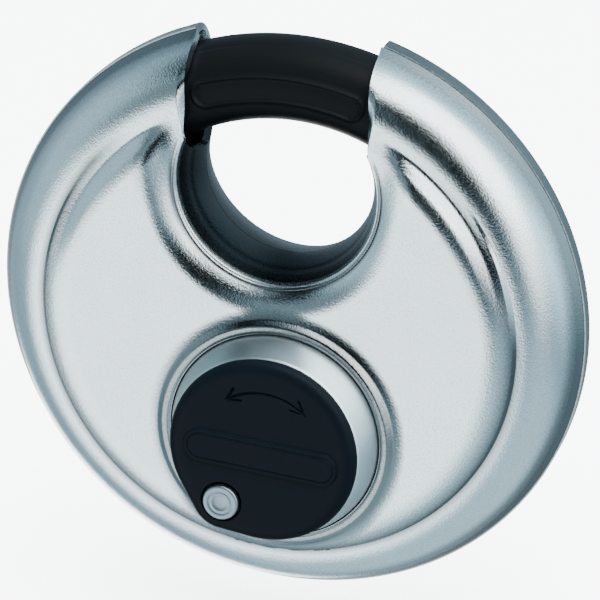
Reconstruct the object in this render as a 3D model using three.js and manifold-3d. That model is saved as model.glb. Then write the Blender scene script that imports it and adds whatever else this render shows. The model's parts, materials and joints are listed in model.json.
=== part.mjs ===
// Disc padlock, 70 mm class: two pressed shells round a curved shackle that a disc cylinder
// swings aside. Millimetres, +Z up, front face towards -Y, +X to the viewer's right.
// The origin is the top of the shackle opening, on the bar's inner edge, where the lock hangs.
import * as THREE from 'three';
import { mergeVertices } from 'three/addons/utils/BufferGeometryUtils.js';
import Module from 'manifold-3d';

const wasm = await Module();
wasm.setup();

// ---- driving dimensions ----
const SHEET = 1.0; // shell wall
const SEAM_HALF = 0.15; // half of the gap between the two shells
const GAP = 0.3; // between pieces that touch
const FRONT_FACE = 7.7; // front flat, from the seam plane
const BACK_FACE = 8.0; // rear flat
const FRONT_RIM_R = 34.8;
const BACK_RIM_R = 35;
const STEP_EDGE_R = 28; // sharp edge of the raised flat
const SHOULDER_R = 24.5; // where the flat begins
const GAP_HALF = 11.2; // half width of the mouth that the shackle crosses

const NECK_Z = 16.7; // centre of the round bottom of the mouth
const NECK_WAIST_R = 10;
const NECK_LIP_R = 12.1;
const NECK_FLARE_R = 14.6;
const NECK_TOP_Z = 20.2; // upper ends of the neck wall

const BAR_R = 28; // shackle bar's centre line
const BAR_HALF_RADIAL = 4.75;
const BAR_HALF_AXIAL = 4.4;
const BAR_SQUARENESS = 2.2; // superellipse exponent of the bar's section
const TOE_DEG = -36; // angles from the top, positive towards -X
const HEEL_DEG = 158;

const CYL_Z = -13.1; // lock cylinder's axis
const BEAD_R = 12.7; // hole in the front shell's collar
const BEAD_RISE = 0.8;
const GUARD_R = 12.4;
const GUARD_FACE_R = 11.3;
const GUARD_FACE = 12.2;
const APERTURE_R = 5.2; // opening in the guard's face
const HOUSING_R = 8.4;
const HOUSING_FRONT = 10.1;
const HOUSING_BACK = -0.6;
const PLUG_R = 6.2;
const PLUG_BORE_R = 4.9;
const PLUG_FRONT = 9.0;
const DISC_R = 4.6; // code discs
const DISC_THICK = 0.6;
const SPACER_THICK = 0.3;
const STACK_GAP = 0.25;
const STACK_FRONT = 8.7;
const DISC_CODES = [90, 60, 75, 45, 90, 30]; // degrees that the key turns each disc
const KEY_R = 3;
const KEY_FLAT = 0.5; // height of the half-round keyway's flat above the axis

const PIN_ARM = 7.6; // crank pin's distance from the cylinder axis
const PIN_R = 1.5;
const PIN_CLEARANCE = 1.0; // at each side of the pin in its fork
const SLOT_END_CLEARANCE = 0.5;
const SWING_DEG = 66; // shackle travel from locked to open
const CRANK_FRONT = 0.9;
const CRANK_BACK = 2.3;
const TAB_FRONT = 2.6; // fork on the shackle's heel
const TAB_BACK = 4.3;
const TAB_HALF = 4.3;

const COVER_R = 11.3;
const COVER_BACK = 12.5;
const COVER_FACE = 14.05;
const RIVET_X = -4.9;
const RIVET_Z = -6.65; // below the cylinder axis
const RIVET_HEAD_R = 2.13;
const RIVET_SHANK_R = 1.4;
const EAR_R = 3.9;

const LINER_R = 22.7;
const LARGE = 60; // cutting tools reach past the part

// ---- materials ----
function finish(color, roughness, metalness) {
  return new THREE.MeshStandardMaterial({ color, roughness, metalness });
}
const SHELL_STEEL = () => finish(0xc4ced2, 0.32, 1);
const GUARD_STEEL = () => finish(0xcfd6d9, 0.3, 1);
const BAR_COAT = () => finish(0x101418, 0.5, 0.3);
const COVER_PLASTIC = () => finish(0x14181c, 0.45, 0);
const RIVET_METAL = () => finish(0xb9c6cd, 0.35, 1);
const BRASS = () => finish(0xb8944e, 0.35, 1);
const HARD_STEEL = () => finish(0x8b8f94, 0.4, 1);
const ZINC = () => finish(0x8f9496, 0.6, 0.8);
const RUBBER = () => finish(0x18191a, 0.8, 0);

// ---- geometry helpers ----
// Depth is measured from the seam plane, positive towards the front, so y is minus depth.
function rad(degrees) {
  return THREE.MathUtils.degToRad(degrees);
}

// A closed three.js geometry becomes a solid, with its faces turned outwards.
function solid(geometry) {
  const source = geometry.clone();
  source.deleteAttribute('normal');
  source.deleteAttribute('uv');
  const merged = mergeVertices(source, 1e-4);
  const triangles = [];
  for (let i = 0; i < merged.index.count; i += 3) {
    const [a, b, c] = [0, 1, 2].map((k) => merged.index.getX(i + k));
    if (a !== b && b !== c && c !== a) triangles.push(a, b, c);
  }
  const vertices = new Float32Array(merged.attributes.position.array);
  const body = solidFrom(vertices, triangles);
  return body.volume() > 0 ? body : solidFrom(vertices, triangles.reverse());
}

function solidFrom(vertProperties, triangles) {
  const triVerts = new Uint32Array(triangles);
  return new wasm.Manifold(new wasm.Mesh({ numProp: 3, vertProperties, triVerts }));
}

function toGeometry(body) {
  const mesh = body.getMesh();
  const geometry = new THREE.BufferGeometry();
  geometry.setAttribute('position', new THREE.Float32BufferAttribute(mesh.vertProperties, 3));
  geometry.setIndex(Array.from(mesh.triVerts));
  geometry.computeVertexNormals();
  return geometry;
}

// Turns a closed (radius, depth) profile about the Y axis through (x, z).
function turned(profile, segments = 36, x = 0, z = 0) {
  const points = profile.map(([r, depth]) => new THREE.Vector2(r, -depth));
  const onAxis = profile[0][0] === 0;
  if (!onAxis) points.push(points[0].clone());
  return solid(new THREE.LatheGeometry(points, segments).translate(x, 0, z));
}

function rod(r, depthBack, depthFront, x = 0, z = 0, segments = 36) {
  return turned([[0, depthBack], [r, depthBack], [r, depthFront], [0, depthFront]], segments, x, z);
}

function ring(rIn, rOut, depthBack, depthFront, segments = 36) {
  return turned([[rIn, depthBack], [rOut, depthBack], [rOut, depthFront], [rIn, depthFront]], segments);
}

function block(x0, x1, depthBack, depthFront, z0, z1) {
  const box = new THREE.BoxGeometry(x1 - x0, depthFront - depthBack, z1 - z0);
  return solid(box.translate((x0 + x1) / 2, -(depthFront + depthBack) / 2, (z0 + z1) / 2));
}

// Extrudes a shape drawn in the X-Z plane between two depths.
function plate(shape, depthBack, depthFront, curveSegments = 12) {
  const options = { depth: depthFront - depthBack, bevelEnabled: false, curveSegments };
  const geometry = new THREE.ExtrudeGeometry(shape, options).rotateX(Math.PI / 2);
  return solid(geometry.translate(0, -depthBack, 0));
}

function arcPoints(centreR, radius, fromDeg, toDeg, count) {
  return Array.from({ length: count + 1 }, (_, i) => {
    const angle = rad(fromDeg + ((toDeg - fromDeg) * i) / count);
    return [centreR + radius * Math.cos(angle), radius * Math.sin(angle)];
  });
}

function piece(name, body, material) {
  const mesh = new THREE.Mesh(toGeometry(body), material);
  mesh.name = name;
  return mesh;
}

// ---- shells ----
// One pressed shell, depths positive away from the seam: a straight rim, a round outer ring
// over the shackle's track, and a sharp step up to the flat.
function shellProfile({ rimR, ringCentreR, ringR, ringStartDeg, ringEndDeg, face }) {
  const outside = [
    [rimR, SEAM_HALF],
    ...arcPoints(ringCentreR, ringR, ringStartDeg, ringEndDeg, 5),
    [STEP_EDGE_R, face - 0.5],
    [SHOULDER_R, face],
    [0, face],
  ];
  const inside = [
    [0, face - SHEET],
    [SHOULDER_R, face - SHEET],
    [STEP_EDGE_R - 0.9, face - SHEET - 0.4],
    ...arcPoints(ringCentreR, ringR - SHEET, ringEndDeg, ringStartDeg, 4),
    [rimR - SHEET - 0.1, SEAM_HALF],
  ];
  return [...outside, ...inside];
}

// The flared neck wall round the bottom of the mouth.
function neckProfile(face, waistR, lipR) {
  return [
    [NECK_FLARE_R, face],
    [lipR + 0.9, face - 0.25],
    [lipR + 0.2, face - 0.8],
    [lipR, face - 1.5],
    [waistR + 0.8, 3],
    [waistR, SEAM_HALF],
    [waistR + 1.1, SEAM_HALF],
    [waistR + 1.9, 3],
    [lipR + 1.0, face - 1.6],
    [NECK_FLARE_R, face - SHEET],
  ];
}

function collarProfile(face) {
  return [
    [BEAD_R, face - SHEET],
    [BEAD_R, face + BEAD_RISE],
    [BEAD_R + 0.4, face + BEAD_RISE],
    [BEAD_R + 0.8, face + BEAD_RISE - 0.3],
    [BEAD_R + 1.1, face - 0.1],
    [BEAD_R + 1.1, face - SHEET],
  ];
}

function neckWall(profile) {
  const mouth = block(-GAP_HALF, GAP_HALF, -LARGE, LARGE, NECK_TOP_Z, LARGE);
  const track = block(-NECK_FLARE_R, NECK_FLARE_R, -5.5, 5.5, NECK_TOP_Z, LARGE);
  return turned(profile, 44, 0, NECK_Z).subtract(mouth).subtract(track);
}

function mouthCut() {
  return rod(NECK_FLARE_R - 0.4, -LARGE, LARGE, 0, NECK_Z, 44)
    .add(block(-GAP_HALF, GAP_HALF, -LARGE, LARGE, NECK_TOP_Z, LARGE));
}

const FRONT_PRESSING = {
  rimR: FRONT_RIM_R,
  ringCentreR: 28.1,
  ringR: 6.1,
  ringStartDeg: 14.2,
  ringEndDeg: 79.6,
  face: FRONT_FACE,
};
const BACK_PRESSING = {
  rimR: BACK_RIM_R,
  ringCentreR: 28.6,
  ringR: 6.6,
  ringStartDeg: 16.7,
  ringEndDeg: 83.9,
  face: BACK_FACE,
};

function mirrored(profile) {
  return profile.map(([r, depth]) => [r, -depth]);
}

function frontShell() {
  const collar = turned(collarProfile(FRONT_FACE), 44, 0, CYL_Z);
  return turned(shellProfile(FRONT_PRESSING), 60)
    .subtract(mouthCut())
    .subtract(rod(BEAD_R + 0.2, -LARGE, LARGE, 0, CYL_Z, 44))
    .add(collar)
    .add(neckWall(neckProfile(FRONT_FACE, NECK_WAIST_R, NECK_LIP_R)));
}

function rearShell() {
  const neck = neckProfile(BACK_FACE, NECK_WAIST_R, NECK_LIP_R + 0.3);
  return turned(mirrored(shellProfile(BACK_PRESSING)), 60)
    .subtract(mouthCut())
    .add(neckWall(mirrored(neck)));
}

// ---- shackle ----
class BarLine extends THREE.Curve {
  getPoint(t, target = new THREE.Vector3()) {
    const angle = rad(TOE_DEG + (HEEL_DEG - TOE_DEG) * t);
    return target.set(-BAR_R * Math.sin(angle), 0, BAR_R * Math.cos(angle));
  }
}

function superellipse(halfX, halfY, exponent, count) {
  const points = [];
  for (let i = 0; i < count; i += 1) {
    const angle = (2 * Math.PI * i) / count;
    const [c, s] = [Math.cos(angle), Math.sin(angle)];
    const x = halfX * Math.sign(c) * Math.abs(c) ** (2 / exponent);
    const y = halfY * Math.sign(s) * Math.abs(s) ** (2 / exponent);
    points.push(new THREE.Vector2(x, y));
  }
  return new THREE.Shape(points);
}

// At rest the fork points half the swing to the left of straight down.
function forkFrame(body) {
  return body.rotate([0, SWING_DEG / 2, 0]);
}

function shackle() {
  const section = superellipse(BAR_HALF_AXIAL, BAR_HALF_RADIAL, BAR_SQUARENESS, 18);
  const options = { extrudePath: new BarLine(), steps: 36, bevelEnabled: false };
  const bar = solid(new THREE.ExtrudeGeometry(section, options));
  const slotHalf = PIN_R + PIN_CLEARANCE;
  const slotEnd = CYL_Z - PIN_ARM - PIN_R - SLOT_END_CLEARANCE;
  const tab = block(-TAB_HALF, TAB_HALF, -TAB_BACK, -TAB_FRONT, -27, -12.6);
  const slot = block(-slotHalf, slotHalf, -LARGE, 0, slotEnd, 0);
  return bar.add(forkFrame(tab).subtract(forkFrame(slot)));
}

// ---- lock cylinder, drawn about its own axis ----
function cylinderGuard() {
  const body = turned([
    [HOUSING_R + 0.4, 4.75],
    [GUARD_R + 1, 4.75],
    [GUARD_R + 1, 5.5],
    [GUARD_R, 5.5],
    [GUARD_R, 8.3],
    [GUARD_FACE_R + 0.1, 12],
    [GUARD_FACE_R - 0.15, GUARD_FACE],
    [APERTURE_R, GUARD_FACE],
    [APERTURE_R, HOUSING_FRONT + GAP],
    [HOUSING_R + 0.4, HOUSING_FRONT + GAP],
  ], 40);
  return body
    .subtract(rod(2.7, 11.65, LARGE, RIVET_X, RIVET_Z, 20))
    .subtract(rod(RIVET_SHANK_R + GAP, 0, LARGE, RIVET_X, RIVET_Z, 20));
}

function sealRing() {
  return ring(GUARD_R + 0.35, GUARD_R + 1, 5.8, 6.4, 40);
}

function cylinderHousing() {
  const groove = block(-0.7, 0.7, 0.8, HOUSING_FRONT + 1, PLUG_R, PLUG_R + 1.2);
  return ring(PLUG_R + GAP, HOUSING_R, HOUSING_BACK, HOUSING_FRONT)
    .subtract(groove)
    .subtract(dowelHole());
}

function dowelHole() {
  return rod(1.1, 0.5, LARGE, 0, -HOUSING_R, 20);
}

function housingDowel() {
  return rod(0.8, 0.8, 4.2, 0, -HOUSING_R, 20);
}

function plug() {
  const cup = turned([
    [0, 0.6],
    [PLUG_BORE_R, 0.6],
    [PLUG_BORE_R, PLUG_FRONT],
    [PLUG_R, PLUG_FRONT],
    [PLUG_R, HOUSING_BACK],
    [0, HOUSING_BACK],
  ]);
  const tang = block(-2.5, 2.5, -CRANK_BACK, 0, -2.5, 2.5);
  const slot = block(-0.7, 0.7, 0.9, LARGE, 0, PLUG_R + 1);
  return cup.add(tang).subtract(slot);
}

// Half-round keyway: the key's section with its flat on top.
function keyway(depthBack, depthFront) {
  const start = Math.asin(KEY_FLAT / KEY_R);
  const shape = new THREE.Shape();
  shape.absarc(0, 0, KEY_R, Math.PI - start, 2 * Math.PI + start, false);
  return plate(shape, depthBack, depthFront, 12);
}

function faceDisc() {
  return turned([
    [0, PLUG_FRONT + GAP],
    [PLUG_R, PLUG_FRONT + GAP],
    [PLUG_R, HOUSING_FRONT],
    [APERTURE_R - 0.4, HOUSING_FRONT],
    [APERTURE_R - 0.4, 11.9],
    [0, 11.9],
  ]).subtract(keyway(0, LARGE));
}

const STACK_PITCH = DISC_THICK + SPACER_THICK + 2 * STACK_GAP;

// A code disc's gate lies short of the sidebar by the angle that the key turns it.
function codeDisc(index) {
  const front = STACK_FRONT - index * STACK_PITCH;
  const gate = block(-0.65, 0.65, -LARGE, LARGE, DISC_R - 0.8, DISC_R + 1);
  return rod(DISC_R, front - DISC_THICK, front, 0, 0, 26)
    .subtract(keyway(0, LARGE))
    .subtract(gate.rotate([0, DISC_CODES[index], 0]));
}

function spacer(index) {
  const front = STACK_FRONT - index * STACK_PITCH - DISC_THICK - STACK_GAP;
  return ring(KEY_R + 0.6, DISC_R, front - SPACER_THICK, front, 20);
}

function sidebar() {
  const shape = new THREE.Shape();
  shape.moveTo(-0.45, DISC_R + STACK_GAP);
  shape.lineTo(0.45, DISC_R + STACK_GAP);
  shape.lineTo(0.45, PLUG_R - 0.35);
  shape.absarc(0, PLUG_R - 0.35, 0.45, 0, Math.PI, false);
  return plate(shape, 1.2, 8.6, 6);
}

// The crank points along +X here; crankAngle turns it to the locked position.
function driverCrank() {
  const [hub, eye] = [5, 2];
  const tangent = Math.acos((hub - eye) / PIN_ARM);
  const shape = new THREE.Shape();
  shape.absarc(PIN_ARM, 0, eye, -tangent, tangent, false);
  shape.absarc(0, 0, hub, tangent, 2 * Math.PI - tangent, false);
  const square = block(-2.8, 2.8, -LARGE, LARGE, -2.8, 2.8);
  return plate(shape, -CRANK_BACK, -CRANK_FRONT, 16)
    .subtract(rod(PIN_R + 0.2, -LARGE, LARGE, PIN_ARM, 0, 20))
    .subtract(square.rotate([0, crankAngleDeg(), 0]));
}

function crankPin() {
  return rod(PIN_R, -4.8, -CRANK_FRONT, PIN_ARM, 0, 20);
}

// In the locked position the pin stands on the fork's centre line, above the cylinder axis.
function crankAngleDeg() {
  const half = rad(SWING_DEG / 2);
  const fromBottom = half + Math.asin((-CYL_Z * Math.sin(half)) / PIN_ARM);
  return 270 - THREE.MathUtils.radToDeg(fromBottom);
}

// ---- keyway cover ----
function domedDisc(r, x, z, segments) {
  return turned([
    [0, COVER_BACK],
    [r - 0.3, COVER_BACK],
    [r, COVER_BACK + 0.3],
    [r - 0.15, COVER_BACK + 0.8],
    [r - 0.6, COVER_FACE - 0.3],
    [r - 1.3, COVER_FACE - 0.07],
    [r - 2, COVER_FACE],
    [0, COVER_FACE],
  ], segments, x, z);
}

function keywayCover() {
  return domedDisc(COVER_R, 0, 0, 44)
    .add(domedDisc(EAR_R, RIVET_X, RIVET_Z, 28))
    .subtract(rod(RIVET_SHANK_R + GAP, 0, LARGE, RIVET_X, RIVET_Z, 32))
    .subtract(rod(RIVET_HEAD_R + 0.25, 13.2, LARGE, RIVET_X, RIVET_Z, 24));
}

function coverRivet() {
  return turned([
    [0, HOUSING_FRONT + GAP],
    [RIVET_SHANK_R, HOUSING_FRONT + GAP],
    [RIVET_SHANK_R, 13.5],
    [RIVET_HEAD_R, 13.5],
    [RIVET_HEAD_R, COVER_FACE],
    [RIVET_HEAD_R - 0.2, COVER_FACE + 0.1],
    [0, COVER_FACE + 0.1],
  ], 24, RIVET_X, RIVET_Z);
}

function frictionWasher() {
  return ring(RIVET_SHANK_R + GAP, 2.4, 11.95, 12.25, 20);
}

// ---- liners: castings inside the shells that guide the shackle ----
function neckClearance() {
  const r = NECK_WAIST_R + 3.6;
  return rod(r, -LARGE, LARGE, 0, NECK_Z, 48).add(block(-LARGE, LARGE, -LARGE, LARGE, 12, LARGE));
}

function frontLiner() {
  return rod(LINER_R, -0.4, 6.1, 0, 0, 64)
    .subtract(neckClearance())
    .subtract(rod(GUARD_R + 1.4, 4.4, LARGE, 0, CYL_Z))
    .subtract(rod(HOUSING_R + GAP, -LARGE, LARGE, 0, CYL_Z))
    .subtract(dowelHole().translate([0, 0, CYL_Z]));
}

function rearLiner() {
  const pads = rod(LINER_R, -5.5, -0.7, 0, 0, 64)
    .subtract(block(-LARGE, LARGE, -LARGE, LARGE, -LARGE, -5.5))
    .subtract(rod(PIN_ARM + 2.6, -LARGE, LARGE, 0, CYL_Z));
  return rod(26.5, -6.2, -5.1, 0, 0, 64).add(pads).subtract(neckClearance());
}

// ---- assembly ----
const padlock = new THREE.Group();
const disc = new THREE.Group();
disc.position.z = -(BAR_R - BAR_HALF_RADIAL);
padlock.add(disc);

disc.add(
  piece('front_shell', frontShell(), SHELL_STEEL()),
  piece('rear_shell', rearShell(), SHELL_STEEL()),
  piece('shackle', shackle(), BAR_COAT()),
  piece('front_liner', frontLiner(), ZINC()),
  piece('rear_liner', rearLiner(), ZINC()),
);

const cylinder = new THREE.Group();
cylinder.position.z = CYL_Z;
disc.add(cylinder);

cylinder.add(
  piece('cylinder_guard', cylinderGuard(), GUARD_STEEL()),
  piece('seal_ring', sealRing(), RUBBER()),
  piece('cylinder_housing', cylinderHousing(), BRASS()),
  piece('housing_dowel', housingDowel(), HARD_STEEL()),
  piece('plug', plug(), BRASS()),
  piece('face_disc', faceDisc(), HARD_STEEL()),
  piece('sidebar', sidebar(), HARD_STEEL()),
  piece('keyway_cover', keywayCover(), COVER_PLASTIC()),
  piece('cover_rivet', coverRivet(), RIVET_METAL()),
);
DISC_CODES.forEach((_, i) => cylinder.add(piece(`code_disc_${i + 1}`, codeDisc(i), BRASS())));
for (let i = 0; i < DISC_CODES.length - 1; i += 1) {
  cylinder.add(piece(`spacer_${i + 1}`, spacer(i), HARD_STEEL()));
}

const washer = piece('friction_washer', frictionWasher(), HARD_STEEL());
washer.position.set(RIVET_X, 0, RIVET_Z);
cylinder.add(washer);

const crank = new THREE.Group();
crank.rotation.y = -rad(crankAngleDeg());
crank.add(
  piece('driver_crank', driverCrank(), HARD_STEEL()),
  piece('crank_pin', crankPin(), HARD_STEEL()),
);
cylinder.add(crank);

export default padlock;
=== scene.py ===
import json
import math

import bpy
import numpy as np
from mathutils import Matrix, Vector
from mathutils.geometry import delaunay_2d_cdt

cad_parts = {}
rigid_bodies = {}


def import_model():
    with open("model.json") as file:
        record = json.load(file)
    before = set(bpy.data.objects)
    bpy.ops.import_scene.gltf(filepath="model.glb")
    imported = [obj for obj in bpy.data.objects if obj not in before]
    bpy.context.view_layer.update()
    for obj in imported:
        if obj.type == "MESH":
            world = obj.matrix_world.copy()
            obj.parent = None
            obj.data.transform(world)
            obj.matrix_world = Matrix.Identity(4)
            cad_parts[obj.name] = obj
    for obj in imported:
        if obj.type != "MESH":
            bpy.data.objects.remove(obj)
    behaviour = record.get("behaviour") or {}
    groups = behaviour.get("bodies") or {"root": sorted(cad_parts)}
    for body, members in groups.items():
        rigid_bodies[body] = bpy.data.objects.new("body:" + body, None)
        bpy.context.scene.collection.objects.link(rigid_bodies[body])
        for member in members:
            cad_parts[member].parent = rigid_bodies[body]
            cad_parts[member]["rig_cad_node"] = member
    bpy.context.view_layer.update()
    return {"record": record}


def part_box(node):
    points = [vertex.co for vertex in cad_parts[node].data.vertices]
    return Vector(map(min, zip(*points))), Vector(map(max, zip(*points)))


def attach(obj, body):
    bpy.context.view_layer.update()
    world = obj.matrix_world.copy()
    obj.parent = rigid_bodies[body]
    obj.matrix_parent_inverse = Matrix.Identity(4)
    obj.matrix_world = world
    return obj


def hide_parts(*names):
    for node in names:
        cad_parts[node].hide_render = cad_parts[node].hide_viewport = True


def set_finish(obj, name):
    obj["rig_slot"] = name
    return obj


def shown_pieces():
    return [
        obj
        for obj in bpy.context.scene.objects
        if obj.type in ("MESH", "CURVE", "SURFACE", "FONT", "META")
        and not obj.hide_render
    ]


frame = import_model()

# A disc padlock, 70 mm class. Sizes are in millimetres and drawn about the disc's centre:
# x to the right, z up, and depth towards the front (so y is minus depth) from the seam plane.
MM = 0.001
FRONT, REAR = -1, 1  # the sign of y on each side of the seam

rear_low, rear_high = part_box("rear_shell")
DISC_R = (rear_high.x - rear_low.x) / 2 / MM
DISC_Z = rear_low.z + DISC_R * MM
FLOOR_Z = rear_low.z - 5 * MM  # clear of the cover when it hangs down

# ---- driving dimensions ----
SEAM_HALF = 0.04
SHEET = 0.9
NECK_Z = 16.7  # centre of the mouth's round bottom
NECK_WAIST_R = 10.25
NECK_LIP_R = 12.15
NECK_LIP_DROP = 1.42  # how far the neck's lip lies below the flat
NECK_LINE_R = 12.55  # a shallow line pressed round the neck
NECK_LINE_DEPTH = 0.1
FLARE_END_R = 15.8
GAP_INNER = 11.0  # half width of the mouth where the shackle crosses it
GAP_CREASE = 11.85  # where its rounded lip begins
CYL_Z = -13.1  # lock cylinder's axis
BEAD_HOLE_R = 12.6
STEP_R = 28.1  # sharp edge of the raised flat
FOOT_R = 28.5
SHOULDER_R = 24.0
BAR_R = 28.0


class Pressing:
    """Sizes of one shell."""

    def __init__(self, side, rim_r, crease_r, ring_centre_r, ring_r, face, gap_half, bead):
        self.side = side
        self.gap_half = gap_half
        self.rim_r = rim_r
        self.crease_r = crease_r
        self.ring_centre_r = ring_centre_r
        self.ring_r = ring_r
        self.face = face
        self.bead = bead
        self.crease_depth = math.sqrt(ring_r**2 - (crease_r - ring_centre_r) ** 2)


FRONT_PRESSING = Pressing(FRONT, 34.8, 34.0, 28.1, 6.1, 7.7, GAP_INNER, True)
REAR_PRESSING = Pressing(REAR, DISC_R, DISC_R - 0.08, 28.6, 6.6, 8.0, GAP_INNER + 0.3, False)


# ---- small maths ----
def smooth(t):
    t = np.clip(t, 0, 1)
    return t * t * (3 - 2 * t)


def soft_min(a, b, width):
    """The smaller of a and b, with the crease between them rounded over width."""
    share = np.clip(0.5 + (b - a) / (2 * width), 0, 1)
    return b + (a - b) * share - width * share * (1 - share)


def groove(distance, half_width):
    """1 on a line, falling smoothly to 0 at half_width from it."""
    return 1 - smooth(np.abs(distance) / half_width)


def circle(radius, count, x=0.0, z=0.0):
    turn = np.arange(count) * 2 * math.pi / count
    return np.column_stack([x + radius * np.cos(turn), z + radius * np.sin(turn)])


def rings(radii, count, x=0.0, z=0.0):
    """Concentric rings of points, every other one turned by half a step."""
    found = []
    for i, radius in enumerate(radii):
        turn = (np.arange(count) + 0.5 * (i % 2)) * 2 * math.pi / count
        found.append(np.column_stack([x + radius * np.cos(turn), z + radius * np.sin(turn)]))
    return np.vstack(found)


def fall(radii, slopes):
    """A table of radius and how much of a rise is left, for a side with these slopes."""
    grid = np.arange(radii[0], radii[-1] + 0.01, 0.01)
    dropped = np.cumsum(np.interp(grid, radii, slopes))
    return grid, 1 - dropped / dropped[-1]


# ---- the shells' surface, as a depth over x and z ----
def neck_wall(rho, face):
    """Depth of the neck's wall: steep at its waist and rounding over to the lip, with one shallow groove."""
    out = np.clip((rho - NECK_WAIST_R) / (NECK_LIP_R - NECK_WAIST_R), 0, 1)
    groove_at, groove_half = 0.42, 0.12
    share = out**0.6 - 0.02 * groove(out - groove_at, groove_half)
    return SEAM_HALF + share * (face - NECK_LIP_DROP - SEAM_HALF)


def outer_ring(r, p):
    """Depth of the round ring over the shackle's track, with its straight rim outside the crease."""
    beyond = np.clip(r - p.ring_centre_r, 0, None)
    arc = np.sqrt(np.clip(p.ring_r**2 - beyond**2, 0, None))
    rim_share = (p.rim_r - r) / (p.rim_r - p.crease_r)
    rim = SEAM_HALF + (p.crease_depth - SEAM_HALF) * rim_share
    return np.where(r > p.crease_r, rim, arc)


# The flat rounds down to a sharp edge and a steep wall.
# Towards the tips beside the mouth it only rolls down.
TIP_START_Z, TIP_BLEND = 2, 16
EDGE_FALL = fall([24.6, 27.2, STEP_R, STEP_R + 0.02, FOOT_R - 0.02, FOOT_R], [0, 0.42, 0.45, 2.0, 2.0, 0])
TIP_FALL = fall([23.9, 24.3, 25.5, 25.95, 26.9, 27.4], [0, 0.14, 0.42, 0.75, 0.78, 0])


def flat_share(r, z):
    """How much of the flat's rise is left at radius r: 1 on the flat, 0 outside the step."""
    tip = smooth((z - TIP_START_Z) / TIP_BLEND)
    return (1 - tip) * np.interp(r, *EDGE_FALL) + tip * np.interp(r, *TIP_FALL)


MOUTH_FADE_Z, MOUTH_FADE_HEIGHT = 13, 12
MOUTH_FADE_X, MOUTH_FADE_WIDTH = 12, 5


def mouth_share(x, z):
    """How the flat's rise fades into the neck's flare and towards the mouth's lip."""
    rho = np.hypot(x, z - NECK_Z)
    flare = 1 - (1 - np.clip((rho - NECK_LIP_R) / (FLARE_END_R - NECK_LIP_R), 0, 1)) ** 2
    near_gap = smooth((z - MOUTH_FADE_Z) / MOUTH_FADE_HEIGHT)
    tips = smooth((np.abs(x) - MOUTH_FADE_X) / MOUTH_FADE_WIDTH)
    return flare * (1 - near_gap * (1 - tips))


# The collar bead round the cylinder: a soft foot, a steep outer side and a rounded top.
BEAD_HEIGHT = 0.82
BEAD_FALL = fall([13.4, 13.75, 14.1, 14.35, 15.6], [0, 1.0, 1.1, 0.45, 0])


def bead_height(q):
    """Height of the bead over the shell, at q from the cylinder's axis. It sinks a little at its hole."""
    top_r, top_width, sinks = 13.0, 0.28, 0.3
    inside = 1 - sinks * np.clip((top_r - q) / top_width, 0, 1) ** 2
    return BEAD_HEIGHT * np.interp(q, *BEAD_FALL) * inside


LIP_SLOPE = 1.3
LIP_SOFTNESS = 0.15
LIP_LOWEST_Z = 19
LIP_NARROWING, LIP_NARROW_Z, LIP_WIDENING = 0.8, 22, 5  # it is narrower at its lower end
LIP_FADE_R, LIP_FADE_WIDTH = 27, 5.5  # measured from the disc's centre


def lip_drop(x, z):
    """How far the mouth's edge rolls inwards. It is narrow at its lower end and fades out at the rim."""
    crease = GAP_CREASE - LIP_NARROWING * (1 - smooth((z - LIP_NARROW_Z) / LIP_WIDENING))
    width = crease - GAP_INNER + 0.15
    inwards = np.clip((crease - np.abs(x)) / width, 0, 1)
    below_rim = 1 - smooth((np.hypot(x, z) - LIP_FADE_R) / LIP_FADE_WIDTH)
    drop = LIP_SLOPE * width * below_rim * inwards**2 / (inwards + LIP_SOFTNESS)
    return np.where(z > LIP_LOWEST_Z, drop, 0)


def shell_depth(x, z, p):
    """Depth of a shell's outer surface: ring, flat, mouth and, in front, the collar bead."""
    outward_slope, neck_rounding = 4, 0.12
    r = np.hypot(x, z)
    rho = np.hypot(x, z - NECK_Z)
    rise = p.face - p.ring_r
    share = mouth_share(x, z)
    depth = outer_ring(r, p) + rise * flat_share(r, z) * share
    depth -= lip_drop(x, z)
    depth -= NECK_LINE_DEPTH * groove(rho - NECK_LINE_R, 0.18) * (1 - smooth((z - 20) / 2))
    wall = neck_wall(rho, p.face) + outward_slope * np.clip(rho - NECK_LIP_R, 0, None)
    depth = soft_min(depth, wall, neck_rounding)
    if p.bead:
        depth = depth + bead_height(np.hypot(x, z - CYL_Z))
    return depth


# ---- meshes ----
def triangulate(points, loops):
    """Delaunay triangles over the points, with the edges of the closed loops kept."""
    edges = []
    start = len(points)
    for loop in loops:
        count = len(loop)
        edges += [(start + i, start + (i + 1) % count) for i in range(count)]
        start += count
    everything = np.vstack([points, *loops])
    places = [Vector(p) for p in everything.tolist()]
    all_triangles, closest = 0, 1e-7
    found = delaunay_2d_cdt(places, edges, [], all_triangles, closest, False)
    return np.array([v[:] for v in found[0]]), np.array([f[:] for f in found[2]])


def inside_loop(points, loop):
    """Which of the points lie inside a closed loop."""
    inside = np.zeros(len(points), bool)
    x, z = points[:, 0], points[:, 1]
    for (x0, z0), (x1, z1) in zip(loop, np.roll(loop, -1, axis=0)):
        if z0 != z1:
            crosses = (z0 > z) != (z1 > z)
            inside ^= crosses & (x < x0 + (z - z0) * (x1 - x0) / (z1 - z0))
    return inside


def surface_normals(x, z, depth_of, side):
    """Unit normals of the surface, from the slope of its depth."""
    step = 0.01
    slope_x = (depth_of(x + step, z) - depth_of(x - step, z)) / (2 * step)
    slope_z = (depth_of(x, z + step) - depth_of(x, z - step)) / (2 * step)
    normals = np.column_stack([-slope_x, np.full(len(x), float(side)), -slope_z])
    return normals / np.linalg.norm(normals, axis=1)[:, None]


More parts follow.
